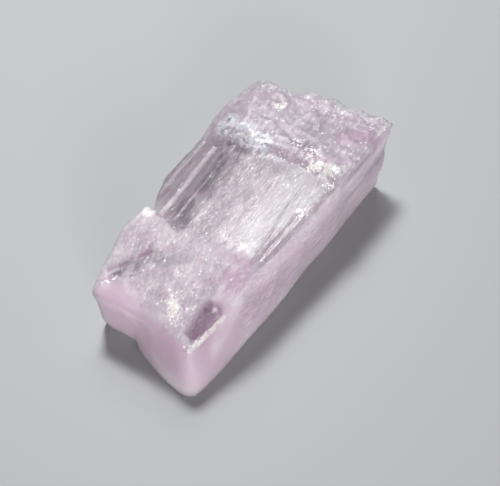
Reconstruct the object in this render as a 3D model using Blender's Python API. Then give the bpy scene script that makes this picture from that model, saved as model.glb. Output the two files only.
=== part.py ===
"""Kunzite crystal: a cleaved lath of lilac spodumene, lying on its flat side.

It is one natural piece, so it is one solid. +X runs along the crystal's long
axis, from the near end to the far end, and +Z is up. The origin is under the
middle of the crystal's box, on the plane that it rests on.
"""

import math

import bmesh
import bpy
from mathutils import Vector, noise

MM = 0.001

# Driving dimensions, in millimetres
LENGTH = 31.5
WIDTH = 16.4
HEIGHT = 8.2

# The table is the flat cleavage in the middle of the top, and the slope beside
# it is the second cleavage, which drops to the left side
TABLE_TOP = 7.4
SLOPE_START_Y = 1.5
SLOPE_DEGREES = 25.0

# The cap is the rough layer that is left over the far end. Its left part falls away
# from a line that slants outwards past CAP_LEFT_START_X
CAP_TOP = 8.0
CAP_EDGE_X = 6.9
CAP_FALL_DEGREES = 4.0
CAP_LEFT_START_Y = 4.0
CAP_LEFT_START_X = 8.0
CAP_LEFT_START_SLANT = 0.12
CAP_LEFT_DEGREES = 36.0

# The block is the raised near end, which falls away towards the end face
BLOCK_TOP = 7.5
BLOCK_EDGE_X = -3.6
BLOCK_FALL_START_X = -6.5
BLOCK_FALL_DEGREES = 14.0
BLOCK_EDGE_SLANT = 0.4
BLOCK_EDGE_LEFT_Y = 6.0
BLOCK_EDGE_SLANT_WIDTH = 4.2

# Flat-floored pits in the block's top: middle in plan, size and depth of each
PITS = (
    ((-11.7, -4.5), (3.2, 1.7), 0.6),
    ((-11.2, 4.5), (1.9, 1.2), 0.45),
    ((-9.2, 3.4), (3.6, 0.9), 0.35),
)
PIT_WALL = 0.5

# Relief of the broken faces
HACKLE_PITCH = 1.5
HACKLE_DEPTH = 0.4
END_HACKLE_PITCH = 1.8
END_HACKLE_DEPTH = 0.6

# Relief of the cleaved and the grown faces, which run along the crystal
STEP_PITCH = 0.9
STEP_DEPTH = 0.16
SIDE_STEP_PITCH = 1.15
SIDE_BULGE = 0.16

# The skin is the old frosted surface of the near end and of the right side's near
# part, which is worn round by this many passes of smoothing
SKIN_END_X = -12.2
SKIN_SIDE_X = 4.0
SKIN_SIDE_Y = -5.0
SKIN_PASSES = 16

# Cells of the working mesh along the crystal, and triangles of the finished one
REMESH_DEPTH = 7
REMESH_FILL = 0.9
FINISHED_TRIANGLES = 9400

# The far end's face is broken back between its corners: middle and half width of
# the hollow across the crystal, its depth, and where it fades out along it
FAR_HOLLOW_Y = 2.8
FAR_HOLLOW_HALF = 3.6
FAR_HOLLOW_DEPTH = 0.9
FAR_HOLLOW_START_X = 12.0

# Extra depth under the foot, which is cut off flat at the end
SPARE = 2.5

LILAC = (0.62, 0.42, 0.55, 1.0)


def clear_scene():
    for old in list(bpy.data.objects):
        bpy.data.objects.remove(old, do_unlink=True)


def object_from(bm, name):
    """A new object that holds the bmesh, with its normals facing out."""
    bmesh.ops.recalc_face_normals(bm, faces=bm.faces)
    mesh = bpy.data.meshes.new(name)
    bm.to_mesh(mesh)
    bm.free()
    made = bpy.data.objects.new(name, mesh)
    bpy.context.scene.collection.objects.link(made)
    return made


def box(low, high):
    """A box between two corners, given in millimetres."""
    bm = bmesh.new()
    bmesh.ops.create_cube(bm, size=1.0)
    for vert in bm.verts:
        for axis in range(3):
            middle = (low[axis] + high[axis]) / 2
            vert.co[axis] = MM * (middle + vert.co[axis] * (high[axis] - low[axis]))
    return bm


def facing(azimuth, lean):
    """The direction at this angle in plan, raised by lean, both in degrees."""
    a, b = math.radians(azimuth), math.radians(lean)
    return Vector((math.cos(a) * math.cos(b), math.sin(a) * math.cos(b), math.sin(b)))


def cleave(bm, point, azimuth, lean):
    """Breaks off all that lies in front of a plane through the point."""
    cut = bmesh.ops.bisect_plane(
        bm,
        geom=bm.verts[:] + bm.edges[:] + bm.faces[:],
        plane_co=MM * Vector(point),
        plane_no=facing(azimuth, lean),
        clear_outer=True,
    )
    edges = [item for item in cut["geom_cut"] if isinstance(item, bmesh.types.BMEdge)]
    if edges:
        bmesh.ops.contextual_create(bm, geom=edges)


def lath():
    """The crystal's long body before its top is worked: flat faces all round."""
    bm = box((-LENGTH / 2 - 0.5, -9.0, -SPARE), (LENGTH / 2 + 0.5, 9.0, HEIGHT))
    # Right side: the tall prism face, its bevel, and the shoulder at the near end
    cleave(bm, (0.0, -7.5, 0.0), -93.0, -0.5)
    cleave(bm, (-4.95, -6.2, 8.2), -98.5, 12.0)
    cleave(bm, (-11.0, -4.6, 8.2), -104.0, 38.0)
    # Left side: upright beside the slope, narrower towards both ends, undercut
    cleave(bm, (10.0, 7.95, 5.0), 79.0, -1.0)
    cleave(bm, (8.0, 8.05, 5.0), 88.0, -1.0)
    cleave(bm, (0.1, 7.75, 5.0), 108.0, -1.0)
    cleave(bm, (-2.0, 6.9, 5.0), 117.0, 0.0)
    cleave(bm, (0.0, 6.7, 0.0), 91.0, -38.0)
    # Near end: the broad end face in two facets, and the corner to the right side
    cleave(bm, (-15.4, -4.05, 0.0), 166.0, 9.0)
    cleave(bm, (-14.05, -0.15, 0.0), 158.5, 6.0)
    cleave(bm, (-13.8, -6.45, 0.0), -101.0, 5.0)
    cleave(bm, (-15.35, -5.45, 0.0), -145.0, 9.0)
    cleave(bm, (-14.6, -4.9, 6.0), -135.0, 30.0)
    # Far end: steep and undercut, with a chipped left corner
    cleave(bm, (15.25, 0.65, 7.5), 2.2, -10.0)
    cleave(bm, (15.2, 7.6, 5.0), 40.0, 4.0)
    return bm


def left_block():
    """The left part of the near end, which stands proud of the lath beside it."""
    bm = box((-13.5, -1.0, -SPARE), (-3.2, 7.2, HEIGHT))
    cleave(bm, (-7.45, 6.6, 8.0), 84.0, -2.0)
    cleave(bm, (-10.35, 6.1, 8.0), 100.0, -2.0)
    cleave(bm, (-12.26, 6.13, 8.0), 112.0, -3.0)
    cleave(bm, (-13.3, 5.4, 5.0), 142.0, -3.0)
    cleave(bm, (-12.75, 4.0, 0.0), 181.0, -6.0)
    cleave(bm, (-3.4, 6.0, 6.5), 20.0, 6.0)
    cleave(bm, (-8.0, 5.6, 0.0), 96.0, -30.0)
    return bm


def fuse(target, other):
    """Joins another shape to the target, as one solid."""
    modifier = target.modifiers.new("Join " + other.name, "BOOLEAN")
    modifier.operation = "UNION"
    modifier.object = other
    other.hide_render = True
    other.display_type = "WIRE"


def ramp(value, start, end):
    """0 at start and before it, 1 at end and past it."""
    return min(1.0, max(0.0, (value - start) / (end - start)))


def blend(first, second, share):
    return first + (second - first) * share


def scallops(x, y, pitch, depth):
    """Conchoidal fracture: shallow bowls that meet along sharp crests."""
    bend = 0.35 * noise.noise(Vector((0.4 * x, 0.4 * y, 2.9)))
    spot = Vector((0.6 * x / pitch + bend, y / pitch - bend, 3.7))
    return depth * (noise.voronoi(spot)[0][0] ** 2 - 0.25)


def hackle(x, y, pitch, depth):
    """Broken crystal: bowls of two sizes, with a splintery grain along the crystal."""
    large = scallops(x, y, pitch, depth)
    small = scallops(y, x + 9.0, 0.45 * pitch, 0.45 * depth)
    grain = noise.noise(Vector((0.35 * x / pitch, 2.2 * y / pitch, 5.3)))
    return large + small + 0.3 * depth * grain


def growth_steps(across, along, pitch, depth):
    """Flat treads that run along the crystal and drop in sharp little steps."""
    wander = 0.9 * noise.noise(Vector((0.05 * along, 0.4 * across, 8.2)))
    place = across / pitch + wander
    tread = math.floor(place)
    share = ramp(place - tread, 0.75, 1.0)
    here = noise.cell(Vector((tread, 0.0, 4.5)))
    following = noise.cell(Vector((tread + 1.0, 0.0, 4.5)))
    return depth * blend(here, following, share)


def recess(x, y):
    """The two cleavages in the middle of the top."""
    table = TABLE_TOP + 0.5 * growth_steps(y, x, 1.7 * STEP_PITCH, STEP_DEPTH)
    slope = TABLE_TOP - math.tan(math.radians(SLOPE_DEGREES)) * (y - SLOPE_START_Y)
    slope += growth_steps(y, x, STEP_PITCH, STEP_DEPTH)
    return min(table, slope)


def cap(x, y):
    """The rough layer over the far end, which falls away on the left."""
    end_fall = math.tan(math.radians(CAP_FALL_DEGREES)) * max(0.0, x - 11.0)
    start_y = CAP_LEFT_START_Y + CAP_LEFT_START_SLANT * max(0.0, x - CAP_LEFT_START_X)
    left_fall = math.tan(math.radians(CAP_LEFT_DEGREES)) * max(0.0, y - start_y)
    return CAP_TOP - end_fall - left_fall + hackle(x, y, HACKLE_PITCH, HACKLE_DEPTH)


def near_block(x, y):
    """The near end's top, smooth at its high end and broken lower down."""
    fall = math.tan(math.radians(BLOCK_FALL_DEGREES))
    top = BLOCK_TOP - fall * max(0.0, BLOCK_FALL_START_X - x) - 0.07 * max(0.0, y)
    rough = 0.35 + 0.65 * ramp(x, -7.0, -11.0) * ramp(y, -6.0, -3.5)
    top += 0.5 * growth_steps(y + 20.0, x, STEP_PITCH, STEP_DEPTH)
    return top + rough * hackle(x + 40.0, y, 1.5 * HACKLE_PITCH, HACKLE_DEPTH)


def pit(x, y, middle, size, depth):
    """How far a flat-floored pit lowers the top here."""
    inside = min(
        ramp(size[0] / 2 - abs(x - middle[0]), 0.0, PIT_WALL),
        ramp(size[1] / 2 - abs(y - middle[1]), 0.0, PIT_WALL),
    )
    return depth * inside


def top_height(x, y):
    """Height of the finished top over a point of the plan, in millimetres."""
    jag = 0.9 * noise.noise(Vector((0.0, 0.5 * y, 1.7)))
    jag += 0.35 * noise.noise(Vector((0.0, 1.9 * y, 6.1)))
    cap_edge = CAP_EDGE_X + jag + 0.28 * max(0.0, y - 1.0)
    cap_ledge = 0.5 + 0.20 * max(0.0, y - 0.5)
    on_cap = ramp(x, cap_edge - cap_ledge, cap_edge + 0.2)
    slant = BLOCK_EDGE_SLANT * min(BLOCK_EDGE_SLANT_WIDTH, max(0.0, BLOCK_EDGE_LEFT_Y - y))
    block_edge = BLOCK_EDGE_X - slant + 0.6 * jag
    on_block = 1.0 - ramp(x, block_edge - 0.25, block_edge + 0.3)
    height = blend(recess(x, y), cap(x, y), on_cap)
    height = blend(height, near_block(x, y), on_block)
    for middle, size, depth in PITS:
        height -= pit(x, y, middle, size, depth)
    return height


def side_relief(x, y, z, normal):
    """How far a side is proud of its flat face, in millimetres."""
    lengthwise = growth_steps(z + 31.0, x, SIDE_STEP_PITCH, STEP_DEPTH) - STEP_DEPTH / 2
    broken = hackle(z + 17.0, 0.8 * y, END_HACKLE_PITCH, END_HACKLE_DEPTH)
    bulge = SIDE_BULGE * noise.noise(Vector((0.22 * x, 0.22 * y, 0.3 * z)))
    at_far_end = ramp(normal.x, 0.5, 0.8)
    at_near_end = ramp(-normal.x, 0.3, 0.7)
    return bulge + blend(lengthwise * (1.0 - at_near_end), broken, at_far_end)


def far_hollow(x, y):
    """How far the far end is broken back here, in millimetres along the crystal."""
    across = min(1.0, abs(y - FAR_HOLLOW_Y) / FAR_HOLLOW_HALF)
    bowl = 0.5 + 0.5 * math.cos(math.pi * across)
    return FAR_HOLLOW_DEPTH * bowl * ramp(x, FAR_HOLLOW_START_X, LENGTH / 2)


def wear_skin(bm):
    """Rounds the edges of the near end and of the right side."""
    skin = [
        vert for vert in bm.verts
        if vert.co.x < SKIN_END_X * MM
        or (vert.co.x < SKIN_SIDE_X * MM and vert.co.y < SKIN_SIDE_Y * MM)
    ]
    for _ in range(SKIN_PASSES):
        bmesh.ops.smooth_vert(
            bm, verts=skin, factor=0.5, use_axis_x=True, use_axis_y=True, use_axis_z=True
        )


def work_surface(mesh):
    """Gives the flat-faced mesh its ledges, pits, steps and broken ends."""
    bm = bmesh.new()
    bm.from_mesh(mesh)
    wear_skin(bm)
    bm.normal_update()
    for vert in bm.verts:
        spot = vert.co / MM
        flat = Vector((vert.normal.x, vert.normal.y, 0.0))
        spot += flat * side_relief(*spot, vert.normal)
        spot.x -= far_hollow(spot.x, spot.y)
        if spot.z > 0.0:
            spot.z *= top_height(spot.x, spot.y) / HEIGHT
        vert.co = MM * spot
    bm.to_mesh(mesh)
    bm.free()


def settle(mesh):
    """Cuts the foot flat, brings the box to its sizes and centres it on the origin."""
    bm = bmesh.new()
    bm.from_mesh(mesh)
    cleave(bm, (0.0, 0.0, 0.0), 0.0, -90.0)
    for axis, size in enumerate((LENGTH, WIDTH, HEIGHT)):
        places = [vert.co[axis] for vert in bm.verts]
        low, high = min(places), max(places)
        middle = low if axis == 2 else (low + high) / 2
        for vert in bm.verts:
            vert.co[axis] = (vert.co[axis] - middle) * size * MM / (high - low)
    bmesh.ops.triangulate(bm, faces=[face for face in bm.faces if len(face.verts) > 3])
    bm.to_mesh(mesh)
    bm.free()


def apply_modifiers(target):
    """Replaces the target's mesh by what its modifiers make of it."""
    graph = bpy.context.evaluated_depsgraph_get()
    made = bpy.data.meshes.new_from_object(target.evaluated_get(graph))
    target.modifiers.clear()
    target.data = made


def kunzite_material():
    material = bpy.data.materials.new("kunzite")
    material.use_nodes = True
    shader = material.node_tree.nodes["Principled BSDF"]
    shader.inputs["Base Color"].default_value = LILAC
    shader.inputs["Roughness"].default_value = 0.25
    shader.inputs["Metallic"].default_value = 0.0
    shader.inputs["IOR"].default_value = 1.66
    return material


def kunzite_crystal():
    crystal = object_from(lath(), "kunzite_crystal")
    fuse(crystal, object_from(left_block(), "left_block_guide"))
    cells = crystal.modifiers.new("Working mesh", "REMESH")
    cells.mode = "SHARP"
    cells.octree_depth = REMESH_DEPTH
    cells.scale = REMESH_FILL
    apply_modifiers(crystal)
    work_surface(crystal.data)
    thin = crystal.modifiers.new("Fewer triangles", "DECIMATE")
    triangles = sum(len(face.vertices) - 2 for face in crystal.data.polygons)
    thin.ratio = FINISHED_TRIANGLES / triangles
    apply_modifiers(crystal)
    settle(crystal.data)
    crystal.data.materials.append(kunzite_material())
    return crystal


clear_scene()
kunzite_crystal()
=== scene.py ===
"""A rough kunzite crystal on a pale surface, between soft lamps behind and in front.

The crystal lies along X with its worn near end at low X, and Z is up. Lengths in
this file are in millimetres, and MM turns them into Blender's metres.
"""

import functools
import math
from types import SimpleNamespace

import bmesh
import bpy
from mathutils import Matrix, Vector


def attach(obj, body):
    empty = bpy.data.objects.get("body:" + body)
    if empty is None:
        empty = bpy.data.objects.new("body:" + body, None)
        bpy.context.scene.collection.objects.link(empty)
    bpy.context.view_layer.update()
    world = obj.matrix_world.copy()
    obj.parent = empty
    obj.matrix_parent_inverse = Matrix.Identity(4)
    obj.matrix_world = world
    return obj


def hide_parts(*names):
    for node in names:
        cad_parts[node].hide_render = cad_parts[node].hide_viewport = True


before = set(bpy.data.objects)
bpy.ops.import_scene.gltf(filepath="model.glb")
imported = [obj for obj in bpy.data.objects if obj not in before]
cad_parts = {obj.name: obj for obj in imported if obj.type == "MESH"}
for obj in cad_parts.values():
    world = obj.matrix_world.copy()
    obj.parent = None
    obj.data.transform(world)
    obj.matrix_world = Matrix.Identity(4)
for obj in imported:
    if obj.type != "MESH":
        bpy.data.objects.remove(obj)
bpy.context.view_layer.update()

# The crystal. One lath of kunzite, grown as a single piece and broken out of its
# pocket: two cleavages along its length made the table and the slope, and the cap
# at the far end and the block at the near end are what the cleavages left.
MM = 0.001
CELL = 0.135
MASK_PASSES = 5
SKIN_PASSES = 30

# Where the kinds of surface meet, as the solid has them
SLOPE_START_Y = 1.9
CAP_FRONT_X = 6.2
CAP_FRONT_SLANT = 0.16
CAP_SLANT_START_Y = 1.0
BLOCK_BACK_X = -3.4
BLOCK_BACK_SLANT = -0.4
BLOCK_SLANT_START_Y = 6.0
BLOCK_SLANT_WIDTH = 4.2
SHOULDER_Y = -4.8
RIM_SLANT = 0.36
RAGGED_REACH = 1.8

# How soft those borders are, each from where a kind starts to where it is full. A
# lean is a part of the surface's normal, and the others are in millimetres.
TOP_LEAN = (0.35, 0.75)
FOOT_LEAN = (-0.4, -0.8)
LEFT_LEAN = (0.4, 0.7)
FAR_END_LEAN = (0.45, 0.75)
CAP_LEAN = (-0.1, 0.3)
CAP_BORDER = (-0.8, 0.6)
BLOCK_BORDER = (-1.2, 1.0)
SHOULDER_BORDER = (1.0, -0.8)
SHOULDER_X = (-5.0, -10.5)
RIM_X = (-12.2, -14.2)
CREASE_BORDER = (2.0, 0.4)
SEAM_BORDER = (1.3, 0.4)
SEAM_Y = (2.6, 1.4)
BRINK_X = (0.0, 1.5)
BRINK_Y = (-5.4, -6.4)
FOOT_Z = (0.0, 0.4)

# What the mesh tells the material about each of its points
MARKS = ("worn", "glint", "cap", "block", "cleaved")

# Depths of the relief at full strength
SPLINTER_DEPTH = 0.16
CHIP_DEPTH = 0.18
SWELL_HEIGHT = 0.24
TREAD_DEPTH = 0.07
GRAIN_DEPTH = 0.03

# Length, width and height of the blobs and faces that the relief is made of
RAGGED_PITCH = (9.0, 1.3, 9.0)
SPLINTER_PITCH = (2.8, 1.0, 1.2)
CHIP_PITCH = (0.7, 0.35, 0.5)
SWELL_PITCH = (4.5, 1.3, 1.6)
TREAD_PITCH = (14.0, 2.2, 2.2)
GRAIN_PITCH = (0.9, 0.6, 0.6)
WIDE_TREAD = 0.62
NARROW_TREAD = 0.27


class Value:
    """A number in a node tree. Sums and products of Values add the Math nodes."""

    def __init__(self, tree, socket):
        self.tree = tree
        self.socket = socket

    def math(self, operation, *others):
        node = self.tree.nodes.new("ShaderNodeMath")
        node.operation = operation
        feed(self.tree, node, self, *others)
        return Value(self.tree, node.outputs[0])

    def __add__(self, other):
        return self.math("ADD", other)

    def __sub__(self, other):
        return self.math("SUBTRACT", other)

    def __mul__(self, other):
        return self.math("MULTIPLY", other)

    def __truediv__(self, other):
        return self.math("DIVIDE", other)

    def at_least(self, other):
        return self.math("MAXIMUM", other)

    def at_most(self, other):
        return self.math("MINIMUM", other)

    def ramp(self, start, end):
        """0 at start and before it, 1 at end and past it, and smooth between."""
        node = self.tree.nodes.new("ShaderNodeMapRange")
        node.interpolation_type = "SMOOTHSTEP"
        feed(self.tree, node, self, start, end)
        return Value(self.tree, node.outputs[0])

    def inverse(self):
        """1 where this is 0, and 0 where it is 1."""
        return self.math("MULTIPLY_ADD", -1.0, 1.0)


def most(values):
    """The largest of several Values."""
    return functools.reduce(Value.at_least, values)


def feed(tree, node, *values):
    """Links or sets the node's inputs, in their order."""
    for place, value in zip(node.inputs, values):
        value = getattr(value, "socket", value)
        if isinstance(value, bpy.types.NodeSocket):
            tree.links.new(value, place)
        else:
            place.default_value = value


def of_type(sockets, kind):
    """The sockets of one type, on a node that has several of the same name."""
    return [socket for socket in sockets if socket.type == kind]


def vector_math(tree, operation, *vectors):
    node = tree.nodes.new("ShaderNodeVectorMath")
    node.operation = operation
    feed(tree, node, *vectors)
    return node


def scaled(tree, vector, amount):
    """The vector times a Value."""
    node = vector_math(tree, "SCALE", vector)
    tree.links.new(amount.socket, node.inputs["Scale"])
    return node.outputs["Vector"]


def components(tree, vector):
    """The vector's x, y and z, as Values."""
    node = tree.nodes.new("ShaderNodeSeparateXYZ")
    feed(tree, node, vector)
    return [Value(tree, socket) for socket in node.outputs]


def stretched(tree, place, pitch):
    """The place counted in cells of this length, width and height."""
    per_cell = [1.0 / side for side in pitch]
    return vector_math(tree, "MULTIPLY", place, per_cell).outputs["Vector"]


def noise(tree, place, pitch, detail, seed):
    """Soft noise around 0, from about -0.5 to 0.5, with blobs of this size."""
    node = tree.nodes.new("ShaderNodeTexNoise")
    node.noise_dimensions = "4D"
    node.inputs["Scale"].default_value = 1.0
    node.inputs["W"].default_value = seed
    node.inputs["Detail"].default_value = detail
    tree.links.new(stretched(tree, place, pitch), node.inputs["Vector"])
    return Value(tree, node.outputs[0]) - 0.5


def cells(tree, counted, seed):
    """A Voronoi node over a place that is counted in its cells."""
    node = tree.nodes.new("ShaderNodeTexVoronoi")
    node.voronoi_dimensions = "4D"
    node.inputs["Scale"].default_value = 1.0
    node.inputs["W"].default_value = seed
    tree.links.new(counted, node.inputs["Vector"])
    return node


def facets(tree, place, pitch, seed):
    """Small flat faces, each tilted its own way, as where crystal has splintered."""
    counted = stretched(tree, place, pitch)
    node = cells(tree, counted, seed)
    away = vector_math(tree, "SUBTRACT", counted, node.outputs["Position"])
    lean = vector_math(tree, "SUBTRACT", node.outputs["Color"], (0.5, 0.5, 0.5))
    tilt = vector_math(tree, "DOT_PRODUCT", away.outputs["Vector"], lean.outputs["Vector"])
    return Value(tree, tilt.outputs["Value"])


def treads(tree, across, place, pitch, seed):
    """Cleavage steps that run along the crystal: flat treads with sharp edges."""
    wander = noise(tree, place, TREAD_PITCH, 3.0, seed)
    count = (across / pitch) + (wander * 1.6)
    tread = count.math("FLOOR")
    share = (count - tread).ramp(0.82, 1.0)
    heights = []
    for step in (0.0, 1.0):
        node = tree.nodes.new("ShaderNodeTexWhiteNoise")
        node.noise_dimensions = "1D"
        feed(tree, node, tread + (step + seed))
        heights.append(Value(tree, node.outputs["Value"]))
    return heights[0] + (heights[1] - heights[0]) * share - 0.5


def near_line(tree, place, start, end, radius):
    """1 on the line between two points, falling smoothly to 0 at the radius."""
    along = [b - a for a, b in zip(start, end)]
    square = sum(side * side for side in along)
    offset = vector_math(tree, "SUBTRACT", place, start).outputs["Vector"]
    reach = vector_math(tree, "DOT_PRODUCT", offset, [side / square for side in along])
    share = Value(tree, reach.outputs["Value"]).at_least(0.0).at_most(1.0)
    gap = vector_math(tree, "DISTANCE", offset, scaled(tree, along, share))
    return Value(tree, gap.outputs["Value"]).ramp(radius, 0.0)


def blurred(tree, vector, passes):
    """The vector, evened out over the mesh by this many passes."""
    node = tree.nodes.new("GeometryNodeBlurAttribute")
    node.data_type = "FLOAT_VECTOR"
    node.inputs["Iterations"].default_value = passes
    tree.links.new(vector, of_type(node.inputs, "VECTOR")[0])
    return of_type(node.outputs, "VECTOR")[0]


def regions(tree, place, lean):
    """Where each kind of surface lies, from its place and the way that it leans."""
    x, y, z = components(tree, place)
    nx, ny, nz = components(tree, lean)
    top = nz.ramp(*TOP_LEAN)
    foot = nz.ramp(*FOOT_LEAN)
    left = ny.ramp(*LEFT_LEAN)
    far_end = nx.ramp(*FAR_END_LEAN)

    ragged = noise(tree, place, RAGGED_PITCH, 4.0, 2.0) * RAGGED_REACH
    cap_slant = (y - CAP_SLANT_START_Y).at_least(0.0) * CAP_FRONT_SLANT
    cap = (x - (cap_slant + CAP_FRONT_X + ragged)).ramp(*CAP_BORDER)
    slanted = ((y * -1.0) + BLOCK_SLANT_START_Y).at_least(0.0).at_most(BLOCK_SLANT_WIDTH)
    block_back = (slanted * BLOCK_BACK_SLANT) + BLOCK_BACK_X
    block = (block_back + ragged - x).ramp(*BLOCK_BORDER)

    # The worn skin covers the near end, the right side and the rounded edges of both
    shoulder = (y - SHOULDER_Y).ramp(*SHOULDER_BORDER) * x.ramp(*SHOULDER_X)
    rim = (x - (y * RIM_SLANT)).ramp(*RIM_X)
    sides = (top.inverse() * far_end.inverse()).at_least(shoulder).at_least(rim)
    worn = sides * left.inverse() * (cap * nz.ramp(*CAP_LEAN)).inverse()
    bare = worn.inverse() * foot.inverse()
    cap = (cap * bare).at_least(far_end)
    block = block * bare
    cleaved = (bare - cap - block).at_least(0.0)

    # Soft edges: the slope's start, the block's back and the table's right edge
    crease = (y - SLOPE_START_Y).math("ABSOLUTE").ramp(*CREASE_BORDER) * cleaved * top
    past_block = x - block_back
    seam = past_block.math("ABSOLUTE").ramp(*SEAM_BORDER) * bare * top * y.ramp(*SEAM_Y)
    brink = y.ramp(*BRINK_Y) * top * past_block.ramp(*BRINK_X) * cap.inverse()
    return SimpleNamespace(
        top=top, foot=foot, left=left, far_end=far_end, worn=worn, cap=cap, block=block,
        cleaved=cleaved, soft=most((crease, seam, brink)), above_foot=z.ramp(*FOOT_Z),
        across=y * top + z * top.inverse(),
    )


# Places that the surface reads: cracks as start, end, half width and depth, and
# splintered spots that sparkle as start, end and radius
CRACKS = (
    ((-1.9, 2.1, 7.2), (-1.2, 1.9, 7.3), 0.28, 0.45),
    ((-4.6, -5.7, 7.3), (1.3, -6.1, 7.4), 0.40, 0.12),
    ((-3.1, -7.2, 0.9), (1.0, -7.7, 0.8), 0.25, 0.25),
    ((-11.2, 5.2, 6.0), (-8.4, 3.0, 6.6), 0.50, 0.35),
)
SPARKLES = (
    ((8.0, 5.7, 6.5), (6.5, 0.6, 7.6), 1.5),
    ((6.7, -4.0, 7.8), (7.0, -6.7, 7.8), 1.0),
    ((8.3, -1.7, 7.9), (8.0, -3.9, 7.9), 0.9),
    ((6.0, -6.9, 7.4), (5.0, -6.8, 7.4), 0.5),
    ((11.6, 2.1, 8.0), (12.1, 1.6, 8.0), 0.7),
    ((-12.6, -2.2, 5.8), (-11.6, -1.5, 6.3), 1.1),
    ((-14.2, -4.4, 4.8), (-9.8, -5.6, 5.5), 0.6),
    ((-4.9, 5.5, 7.0), (-4.3, 5.9, 7.0), 0.6),
    ((-12.4, 5.2, 5.6), (-11.4, 4.3, 5.6), 0.7),
)
# The clear window in the block, which stays smooth, as start, end and radius
WINDOW = ((-12.8, -4.7, 5.3), (-10.6, -4.7, 6.1), 1.5)


def raised(tree, place, at, sizes):
    """How far the relief lifts the surface, in millimetres."""
    # Splinters and swells on the broken faces and the soft edges
    window = near_line(tree, place, *WINDOW)
    splinters = facets(tree, place, SPLINTER_PITCH, 1.0)
    swell = noise(tree, place, SWELL_PITCH, 4.0, 4.0)
    broken = at.cap * 0.45 + at.block * 0.40 + at.soft * 1.1
    broken = broken.at_least(at.far_end * 0.45) * window.inverse()
    relief = broken * (splinters * sizes["Splinter depth"] + swell * sizes["Swell height"])

    # Small chips, deepest where the crystal sparkles
    chips = facets(tree, place, CHIP_PITCH, 5.0)
    crumbly = (at.cap * 0.12 + at.glint + at.block * 0.05).at_most(1.0)
    crumbly = crumbly.at_least(at.far_end * 0.5)
    relief = relief + crumbly * (chips * sizes["Chip depth"])

    # Cleavage steps along the table, the slope and the left side
    wide = treads(tree, at.across, place, WIDE_TREAD, 3.0)
    narrow = treads(tree, at.across, place, NARROW_TREAD, 8.0)
    stepped = at.cleaved.at_least(at.left) + at.block * 0.6
    relief = relief + stepped * ((wide + narrow * 0.5) * sizes["Tread depth"])

    # The worn skin's grain, and the cracks. The foot stays flat.
    grain = noise(tree, place, GRAIN_PITCH, 2.0, 7.0)
    relief = relief + at.worn * (grain * sizes["Grain depth"])
    cracks = (near_line(tree, place, *line) * depth for *line, depth in CRACKS)
    return (relief - most(cracks)) * at.foot.inverse() * at.above_foot


def relief_tree():
    """The node tree that gives the remeshed solid its splinters, steps and cracks."""
    tree = bpy.data.node_groups.new("Crystal relief", "GeometryNodeTree")
    face = tree.interface
    face.new_socket("Geometry", in_out="INPUT", socket_type="NodeSocketGeometry")
    inputs = (
        ("Splinter depth", SPLINTER_DEPTH),
        ("Chip depth", CHIP_DEPTH),
        ("Swell height", SWELL_HEIGHT),
        ("Tread depth", TREAD_DEPTH),
        ("Grain depth", GRAIN_DEPTH),
    )
    for name, size in inputs:
        socket = face.new_socket(name, in_out="INPUT", socket_type="NodeSocketFloat")
        socket.default_value = size
    face.new_socket("Material", in_out="INPUT", socket_type="NodeSocketMaterial")
    face.new_socket("Geometry", in_out="OUTPUT", socket_type="NodeSocketGeometry")
    given = tree.nodes.new("NodeGroupInput")
    sizes = {name: Value(tree, given.outputs[name]) for name, _ in inputs}

    spot = tree.nodes.new("GeometryNodeInputPosition").outputs[0]
    normal = tree.nodes.new("GeometryNodeInputNormal").outputs[0]
    place = stretched(tree, spot, (MM, MM, MM))
    at = regions(tree, place, blurred(tree, normal, MASK_PASSES))
    at.glint = most(near_line(tree, place, *line) for line in SPARKLES)
    relief = raised(tree, place, at, sizes)

    # The worn skin and the soft edges are rounded before the relief lifts them
    soft = tree.nodes.new("ShaderNodeMix")
    soft.data_type = "VECTOR"
    share = at.worn.at_least(at.soft) * at.foot.inverse()
    tree.links.new(share.socket, soft.inputs["Factor"])
    ends = [socket for socket in of_type(soft.inputs, "VECTOR") if socket.enabled]
    tree.links.new(spot, ends[0])
    tree.links.new(blurred(tree, spot, SKIN_PASSES), ends[1])
    softened = of_type(soft.outputs, "VECTOR")[0]

    shape = given.outputs["Geometry"]
    for mark in MARKS:
        store = tree.nodes.new("GeometryNodeStoreNamedAttribute")
        store.data_type = "FLOAT"
        store.domain = "POINT"
        store.inputs["Name"].default_value = mark
        tree.links.new(shape, store.inputs["Geometry"])
        tree.links.new(getattr(at, mark).socket, store.inputs["Value"])
        shape = store.outputs["Geometry"]
    moved = tree.nodes.new("GeometryNodeSetPosition")
    tree.links.new(shape, moved.inputs["Geometry"])
    tree.links.new(softened, moved.inputs["Position"])
    tree.links.new(scaled(tree, normal, relief * MM), moved.inputs["Offset"])
    real = tree.nodes.new("GeometryNodeRealizeInstances")
    tree.links.new(moved.outputs["Geometry"], real.inputs["Geometry"])
    coated = tree.nodes.new("GeometryNodeSetMaterial")
    tree.links.new(real.outputs["Geometry"], coated.inputs["Geometry"])
    tree.links.new(given.outputs["Material"], coated.inputs["Material"])
    result = tree.nodes.new("NodeGroupOutput")
    tree.links.new(coated.outputs["Geometry"], result.inputs["Geometry"])
    return tree


# The stone's own colours, and those of its painted shade, glare, shine and glints
LILAC = (0.78, 0.61, 0.72)
PALE = (0.78, 0.66, 0.75)
MILKY = (0.95, 0.91, 0.94)
GREYED = (0.56, 0.51, 0.58)
SLATE = (0.30, 0.29, 0.35)
MAUVE = (0.52, 0.38, 0.50)
ROSE = (0.62, 0.42, 0.56)
TIN = (0.68, 0.70, 0.76)
CREAM = (0.98, 0.93, 0.84)
WHITE = (1.0, 0.99, 1.0)
IOR = 1.66
SCATTER_SHARES = (1.0, 0.8, 0.95)
SCATTER_LENGTH = 3.0
DEPTH_COLOUR = (0.86, 0.45, 0.74)
DEPTH_DENSITY = 60.0
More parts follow.
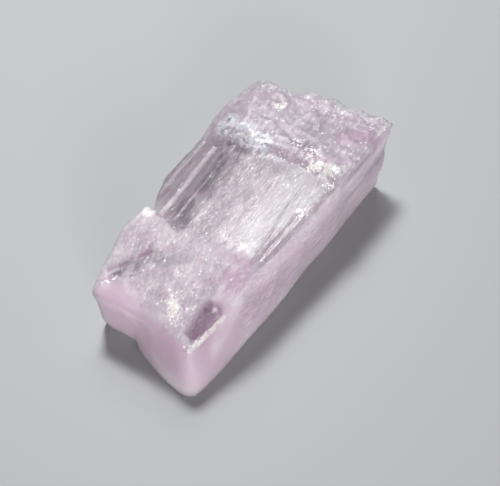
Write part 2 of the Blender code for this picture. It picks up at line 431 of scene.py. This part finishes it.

# Places as start, end and radius: where the stone is clear, with painted shade for the
# dark seen through it, where it is foggy or greyer, where painted shade stands for the dark
# under it showing through, where it is rosier, where a painted highlight stands for the
# lamp's glare on the table, where open cleavages shine like tin as a painted reflection,
# and where painted glints lie creamy white on crushed crystal
CLEAR_PLACES = (
    ((-12.7, -4.7, 5.4), (-10.6, -4.7, 6.1), 1.7),
)
FOGGY_PLACES = (
    ((-8.6, -6.2, 5.6), (-12.4, -6.6, 3.6), 1.9),
    ((11.0, -0.6, 8.0), (10.2, 4.0, 7.6), 1.0),
)
GREY_PLACES = (
    ((11.0, 0.6, 8.0), (10.5, -4.4, 8.0), 1.2),
    ((8.8, 0.4, 8.0), (8.4, -4.6, 8.1), 0.8),
    ((-9.0, 1.4, 6.6), (-7.6, -0.4, 7.3), 1.0),
)
DARK_PLACES = (
    ((-4.6, 2.6, 7.0), (-2.0, 3.5, 6.6), 1.9),
    ((0.2, 3.1, 6.7), (4.6, 3.7, 6.4), 1.3),
    ((6.4, 4.0, 6.3), (5.6, 1.2, 7.2), 0.8),
    ((-10.8, 4.4, 5.7), (-8.6, 2.2, 6.8), 1.3),
)
ROSY_PLACES = (
    ((11.4, -5.6, 8.0), (12.6, -7.0, 7.8), 2.4),
    ((-5.8, -4.4, 7.3), (-7.8, -4.8, 6.9), 1.8),
)
LIT_PLACES = (
    ((5.6, -4.4, 7.4), (0.0, -4.6, 7.4), 3.6),
    ((-1.0, -3.5, 7.4), (-5.5, -4.4, 7.4), 2.4),
)
TIN_PLACES = (
    ((8.4, 5.6, 6.5), (7.0, 1.0, 7.6), 2.2),
)
CREAM_PLACES = (
    ((6.8, -4.4, 7.8), (7.0, -6.4, 7.8), 1.0),
    ((11.6, 2.1, 8.0), (12.1, 1.6, 8.0), 0.8),
    ((-12.4, -2.1, 5.9), (-11.7, -1.6, 6.2), 1.1),
    ((-4.9, 5.5, 7.0), (-4.3, 5.9, 7.0), 1.1),
    ((-14.0, -4.6, 4.7), (-10.2, -5.7, 5.4), 0.5),
)

# Length, width and height of the blobs and faces that the material is made of
FRAY_PITCH = (1.1, 0.28, 0.28)
WANDER_PITCH = (3.0, 0.9, 0.9)
CLOUD_PITCH = (4.0, 2.2, 2.2)
MOTTLE_PITCH = (0.9, 0.4, 0.4)
VEIN_PITCH = (3.2, 0.13, 0.13)
STRATA_PITCH = (0.30, 2.2, 0.8)
SPECK_PITCH = (0.34, 0.14, 0.14)
CRINKLE_PITCH = (0.40, 1.0, 0.5)
LUCK_PITCH = (1.6, 0.8, 0.8)
FLECK_PITCH = (0.17, 0.13, 0.13)
CRUMB_PITCH = (0.34, 0.20, 0.22)
FROST_PITCH = (0.12, 0.12, 0.12)

# Where the strips and bands of the colour start and where they are full
SLOPE_Y = (0.6, 2.8)
BY_SLOPE_Y = (-2.8, 0.4)
BY_CAP_X = (3.0, 5.5)
SIDE_Y = (-3.0, -5.5)
SIDE_X = (-11.0, -7.5)
BAND_Z = (4.6, 5.8)
STRIPE_TOP_Z = (5.0, 4.0)
STRIPE_FOOT_Z = (1.8, 3.0)
FAR_EDGE_X = (12.6, 14.0)
FAR_EDGE_Z = (6.6, 7.4)
FLECKED_Z = (3.0, 5.5)

# Heights of the marks that are too fine for the mesh
VEIN_HEIGHT = 0.06
CRUMB_HEIGHT = 0.10
FROST_HEIGHT = 0.012


def sparks(tree, place, pitch, share, seed):
    """1 on this share of small cells of the surface, and 0 on the others."""
    node = cells(tree, stretched(tree, place, pitch), seed)
    draw = components(tree, node.outputs["Color"])[2]
    return (draw + share).ramp(1.0, 1.02)


def patches(tree, place, spots, seed, fray=3.6):
    """1 inside the spots and 0 outside them, with a border frayed this much."""
    near = most(near_line(tree, place, *line) for line in spots)
    thread = noise(tree, place, FRAY_PITCH, 5.0, seed) * fray + 1.0
    return (near * thread).ramp(0.15, 0.85)


def tinted(tree, first, second, share):
    """The first colour, turned into the second by this share."""
    node = tree.nodes.new("ShaderNodeMix")
    node.data_type = "RGBA"
    for place, colour in zip(of_type(node.inputs, "RGBA"), (first, second)):
        if isinstance(colour, bpy.types.NodeSocket):
            tree.links.new(colour, place)
        else:
            place.default_value = (*colour, 1.0)
    tree.links.new(share.socket, node.inputs["Factor"])
    return of_type(node.outputs, "RGBA")[0]


def zones(tree, place):
    """Where the mesh's marks, the strips and bands, and the patches of colour and of painted
    light lie.
    """
    marks = {}
    for mark in MARKS:
        read = tree.nodes.new("ShaderNodeAttribute")
        read.attribute_name = mark
        marks[mark] = Value(tree, read.outputs["Fac"])
    at = SimpleNamespace(**marks)
    at.upper = at.worn.inverse()

    # The slope, the dull left and far strips of the table, which get painted shade where
    # the table's glare is weaker, and bands along the side
    x, y, z = components(tree, place)
    wander = noise(tree, place, WANDER_PITCH, 4.0, 10.0)
    at.slope = at.cleaved * (y + (wander * 4.5)).ramp(*SLOPE_Y)
    by_slope = (y + (wander * 6.0)).ramp(*BY_SLOPE_Y)
    by_cap = (x + (wander * 4.0)).ramp(*BY_CAP_X)
    at.dull = by_slope.at_least(by_cap) * at.cleaved * at.slope.inverse()
    at.side = at.worn * y.ramp(*SIDE_Y) * x.ramp(*SIDE_X)
    at.band = at.side * (z + wander).ramp(*BAND_Z)
    at.stripe = at.side * (z + (wander * 1.6)).ramp(*STRIPE_TOP_Z)
    at.stripe = at.stripe * (z + wander).ramp(*STRIPE_FOOT_Z)
    # More painted glint flecks on the far edge of the cap, and low on the cap and the block
    at.far_edge = at.cap * (x.ramp(*FAR_EDGE_X) * z.ramp(*FAR_EDGE_Z) * 0.06)
    at.flecked = at.cap.at_least(at.block) * z.ramp(*FLECKED_Z)

    # Patches: a clear window with painted shade, painted shade seen through, painted glare,
    # tin shine and glints as painted reflection and highlights, and the stone's own fog, grey
    # and rose
    at.window = patches(tree, place, CLEAR_PLACES, 21.0, fray=1.0)
    at.foggy = patches(tree, place, FOGGY_PLACES, 27.0, fray=1.5)
    at.greyer = patches(tree, place, GREY_PLACES, 28.0)
    at.dark = patches(tree, place, DARK_PLACES, 22.0)
    at.rosy = patches(tree, place, ROSY_PLACES, 23.0)
    at.lit = patches(tree, place, LIT_PLACES, 24.0)
    at.tin = patches(tree, place, TIN_PLACES, 25.0)
    at.cream = patches(tree, place, CREAM_PLACES, 26.0)
    return at


def patterns(tree, place):
    """The noises that vary the colour inside the zones."""
    return SimpleNamespace(
        clouds=noise(tree, place, CLOUD_PITCH, 5.0, 11.0),
        mottle=noise(tree, place, MOTTLE_PITCH, 4.0, 12.0),
        veins=noise(tree, place, VEIN_PITCH, 3.0, 13.0),
        strata=noise(tree, place, STRATA_PITCH, 4.0, 29.0),
        specks=noise(tree, place, SPECK_PITCH, 2.0, 18.0),
        crinkles=noise(tree, place, CRINKLE_PITCH, 4.0, 14.0),
    )


def flecks(tree, place, at):
    """Painted glints as white flecks, more in lucky spots, on the glints and on the far edge.
    """
    luck = noise(tree, place, LUCK_PITCH, 3.0, 15.0).ramp(0.0, 0.25)
    share = at.upper * (luck * 0.05 + (at.glint * 0.15) + at.far_edge + 0.008)
    share = share + (at.flecked * 0.012)
    share = share * at.window.at_least(at.tin).inverse()
    return sparks(tree, place, FLECK_PITCH, share, 16.0)


def milkiness(at, seen):
    """How much white haze there is, from the pale side of each pattern."""
    milk = seen.clouds.ramp(0.02, 0.22) * 0.35
    milk = milk + (seen.mottle.ramp(0.02, 0.20) * at.grainy * 0.40)
    milk = milk + (seen.specks.ramp(0.02, 0.20) * at.grainy * 0.60) + (at.block * 0.06)
    milk = milk + (seen.strata.ramp(0.02, 0.20) * at.cap * 0.40)
    return milk + (at.band * 0.30) + (at.foggy * 0.35)


def greyness(at, seen):
    """How much grey there is, from the dark side of each pattern."""
    grey = seen.clouds.ramp(0.02, -0.20) * 0.40
    grey = grey + (seen.mottle.ramp(-0.02, -0.22) * 0.45)
    grey = (grey + (seen.specks.ramp(-0.02, -0.20) * 0.60)) * at.grainy + (at.cap * 0.32)
    grey = grey + (seen.strata.ramp(-0.02, -0.20) * at.cap * 0.60)
    return grey + (at.greyer * 0.6)


def coloured(tree, at, seen):
    """The colour, from the stone's own to the marks over it, painted shade, glare and glints
    among them.
    """
    veined = (at.cleaved + (at.block * 0.35) + at.side).at_most(1.0)
    colour = LILAC
    for tint, share in (
        (PALE, at.upper * 0.9),
        # Painted shade: the dull strips of the table greyer where its glare is weaker; the
        # slope greyer too
        (GREYED, (at.dull * 0.55) + (at.slope * 0.35)),
        (MILKY, at.milk.at_most(1.0)),
        (GREYED, greyness(at, seen).at_most(1.0)),
        (MAUVE, at.stripe * (seen.veins.ramp(0.10, -0.15) * 0.45)),
        # Painted highlight: the lamp's glare on the table, painted milky white
        (MILKY, at.lit * at.cleaved * 0.85),
        (MILKY, seen.veins.ramp(0.05, 0.22) * veined * 0.60),
        (SLATE, seen.veins.ramp(-0.05, -0.25) * (at.slope + (at.side * 0.6)) * 0.35),
        (ROSE, at.rosy * 0.6),
        # Painted shade: the dark under the crystal, showing through it
        (SLATE, at.dark * 0.42),
        # Painted shade in the clear window: mauve for the dark seen through it, with pale
        # streaks as painted highlights
        (MAUVE, at.window * 0.85),
        (MILKY, at.window * seen.veins.ramp(0.06, 0.20) * 0.5),
        # Painted reflection: the tin shine of open cleavages, dark in its crinkles
        (TIN, at.tin * 0.80),
        (SLATE, at.tin * seen.crinkles.ramp(0.02, 0.18) * 0.9),
        # Painted glints, creamy white, on crushed crystal
        (CREAM, at.cream * seen.mottle.ramp(-0.10, 0.06) * 0.85),
        # Painted highlights: glint flecks and bright lines on the shine and the glints
        (WHITE, at.white),
    ):
        colour = tinted(tree, colour, tint, share)
    return colour


def roughness(at):
    """Satin on the worn skin and the broken faces, and glassy where it is clear."""
    rough = at.worn * 0.32 + (at.block * 0.30) + (at.cap * 0.26) + (at.dull * 0.34)
    rough = rough + (at.slope * 0.08) + 0.24
    rough = rough * (at.glint.at_least(at.window) * -0.6 + 1.0)
    return rough.at_least(at.fleck * 0.4)


def clearness(at):
    """How much light goes through: least in the milk and in the painted glints and shine."""
    clear = at.worn * -0.30 + (at.block * -0.10) + (at.cap * -0.10) + (at.slope * 0.10) + 0.55
    clear = clear + (at.window * 0.2) + (at.dark * 0.10) + (at.milk * -0.25)
    clear = clear * most((at.white, at.cream * 0.8, at.tin * 0.6)).inverse()
    return clear.at_least(0.0).at_most(0.95)


def fine_height(tree, place, at, seen):
    """Marks too fine for the mesh: veins, crumbs on broken faces, frost on the skin."""
    crumbs = facets(tree, place, CRUMB_PITCH, 17.0)
    frost = noise(tree, place, FROST_PITCH, 2.0, 19.0)
    rubble = (at.cap.at_least(at.block) * 0.35).at_least(at.glint * at.tin.inverse())
    height = (at.cleaved + (at.block * 0.3) + (at.side * 0.6)) * (seen.veins * VEIN_HEIGHT)
    return height + rubble * (crumbs * CRUMB_HEIGHT) + at.worn * (frost * FROST_HEIGHT)


def kunzite():
    """Pale lilac crystal: clear but hazy, glassy where broken, satin where worn."""
    material = bpy.data.materials.new("kunzite")
    material.use_nodes = True
    tree = material.node_tree
    shader = tree.nodes["Principled BSDF"]
    where = tree.nodes.new("ShaderNodeTexCoord")
    place = stretched(tree, where.outputs["Object"], (MM, MM, MM))
    at = zones(tree, place)
    seen = patterns(tree, place)
    at.grainy = (at.upper + (at.side * 0.9) + (at.dull * 0.8)) * at.window.inverse()
    at.milk = milkiness(at, seen)
    at.fleck = flecks(tree, place, at)
    # Painted highlights: thin bright lines across the tin shine and the creamy glints, and
    # the glint flecks
    shining = seen.crinkles.math("ABSOLUTE").ramp(0.04, 0.0)
    at.white = (shining * at.tin.at_least(at.cream * 0.7)).at_least(at.fleck)

    bump = tree.nodes.new("ShaderNodeBump")
    bump.inputs["Distance"].default_value = MM
    tree.links.new(fine_height(tree, place, at, seen).socket, bump.inputs["Height"])
    tree.links.new(bump.outputs["Normal"], shader.inputs["Normal"])
    tree.links.new(coloured(tree, at, seen), shader.inputs["Base Color"])
    tree.links.new(roughness(at).socket, shader.inputs["Roughness"])
    tree.links.new(clearness(at).socket, shader.inputs["Transmission Weight"])

    shader.inputs["IOR"].default_value = IOR
    shader.inputs["Subsurface Weight"].default_value = 1.0
    shader.inputs["Subsurface Radius"].default_value = SCATTER_SHARES
    shader.inputs["Subsurface Scale"].default_value = SCATTER_LENGTH * MM
    absorb = tree.nodes.new("ShaderNodeVolumeAbsorption")
    absorb.inputs["Color"].default_value = (*DEPTH_COLOUR, 1.0)
    absorb.inputs["Density"].default_value = DEPTH_DENSITY
    result = tree.nodes["Material Output"]
    tree.links.new(absorb.outputs["Volume"], result.inputs["Volume"])
    return material


def crystal():
    """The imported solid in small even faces, with the relief worked into it."""
    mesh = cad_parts["kunzite_crystal"].data.copy()
    bm = bmesh.new()
    bm.from_mesh(mesh)
    bmesh.ops.remove_doubles(bm, verts=bm.verts, dist=0.0001 * MM)
    bm.to_mesh(mesh)
    bm.free()
    mesh.materials.clear()
    piece = bpy.data.objects.new("crystal", mesh)
    bpy.context.scene.collection.objects.link(piece)
    fine = piece.modifiers.new("Fine mesh", "REMESH")
    fine.mode = "VOXEL"
    fine.voxel_size = CELL * MM
    relief = piece.modifiers.new("Relief", "NODES")
    tree = relief_tree()
    relief.node_group = tree
    for item in tree.interface.items_tree:
        if item.name == "Material" and item.in_out == "INPUT":
            relief[item.identifier] = kunzite()
    graph = bpy.context.evaluated_depsgraph_get()
    made = bpy.data.meshes.new_from_object(piece.evaluated_get(graph))
    piece.modifiers.clear()
    piece.data = made
    made.shade_smooth()
    return piece


body = crystal()
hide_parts("kunzite_crystal")
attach(body, "root")

# The surface. A plain sheet of pale grey board, with a satin finish. It lies flat, and
# the crystal rests on it by its own weight.
FLOOR_SIDE = 600.0
FLOOR_COLOUR = (0.42, 0.43, 0.44)
FLOOR_ROUGHNESS = 0.6

bpy.ops.mesh.primitive_plane_add(size=FLOOR_SIDE * MM)
floor = bpy.context.object
floor.name = "floor"
paper = bpy.data.materials.new("floor")
paper.use_nodes = True
paint = paper.node_tree.nodes["Principled BSDF"]
paint.inputs["Base Color"].default_value = (*FLOOR_COLOUR, 1.0)
paint.inputs["Roughness"].default_value = FLOOR_ROUGHNESS
floor.data.materials.append(paper)

# The camera. It looks down on the crystal from its near right corner. The azimuth
# is counted from -Y.
AIM = Vector((-0.85, -2.45, 3.5)) * MM
VIEW_AZIMUTH = -59.0
VIEW_ELEVATION = 50.0
VIEW_DISTANCE = 99.2
LENS = 80.0
NEAREST = 10.0

turn = math.radians(VIEW_AZIMUTH)
tilt = math.radians(VIEW_ELEVATION)
towards_camera = Vector((
    math.sin(turn) * math.cos(tilt),
    -math.cos(turn) * math.cos(tilt),
    math.sin(tilt),
))
seeing = bpy.data.cameras.new("camera")
seeing.lens = LENS
seeing.clip_start = NEAREST * MM
camera = bpy.data.objects.new("camera", seeing)
camera.location = AIM + towards_camera * VIEW_DISTANCE * MM
camera.rotation_euler = (-towards_camera).to_track_quat("-Z", "Y").to_euler()
bpy.context.scene.collection.objects.link(camera)
bpy.context.scene.camera = camera

# The light. A small lamp high behind the crystal throws the shadow, and a wider one
# further down is mirrored in the table. A third, low in front, lights the near end
# and the right side, and the sky adds a weak even grey.
LAMP_DISTANCE = 300.0
SKY_COLOUR = (0.84, 0.84, 0.86)
SKY_STRENGTH = 0.15


def softbox(name, azimuth, elevation, size, power):
    """A square lamp that faces the crystal from this direction, counted from +X."""
    around = math.radians(azimuth)
    up = math.radians(elevation)
    flat = math.cos(up)
    back = Vector((math.cos(around) * flat, math.sin(around) * flat, math.sin(up)))
    lamp = bpy.data.lights.new(name, "AREA")
    lamp.size = size * MM
    lamp.energy = power
    holder = bpy.data.objects.new(name, lamp)
    holder.location = back * LAMP_DISTANCE * MM
    holder.rotation_euler = (-back).to_track_quat("-Z", "Y").to_euler()
    bpy.context.scene.collection.objects.link(holder)


softbox("high lamp", azimuth=46.0, elevation=62.0, size=60.0, power=0.74)
softbox("far lamp", azimuth=31.0, elevation=48.0, size=130.0, power=0.20)
softbox("front fill", azimuth=-137.0, elevation=12.0, size=120.0, power=0.62)

sky = bpy.data.worlds.new("world")
sky.use_nodes = True
sky.node_tree.nodes["Background"].inputs["Color"].default_value = (*SKY_COLOUR, 1.0)
sky.node_tree.nodes["Background"].inputs["Strength"].default_value = SKY_STRENGTH
bpy.context.scene.world = sky
bpy.context.scene.view_settings.view_transform = "Standard"
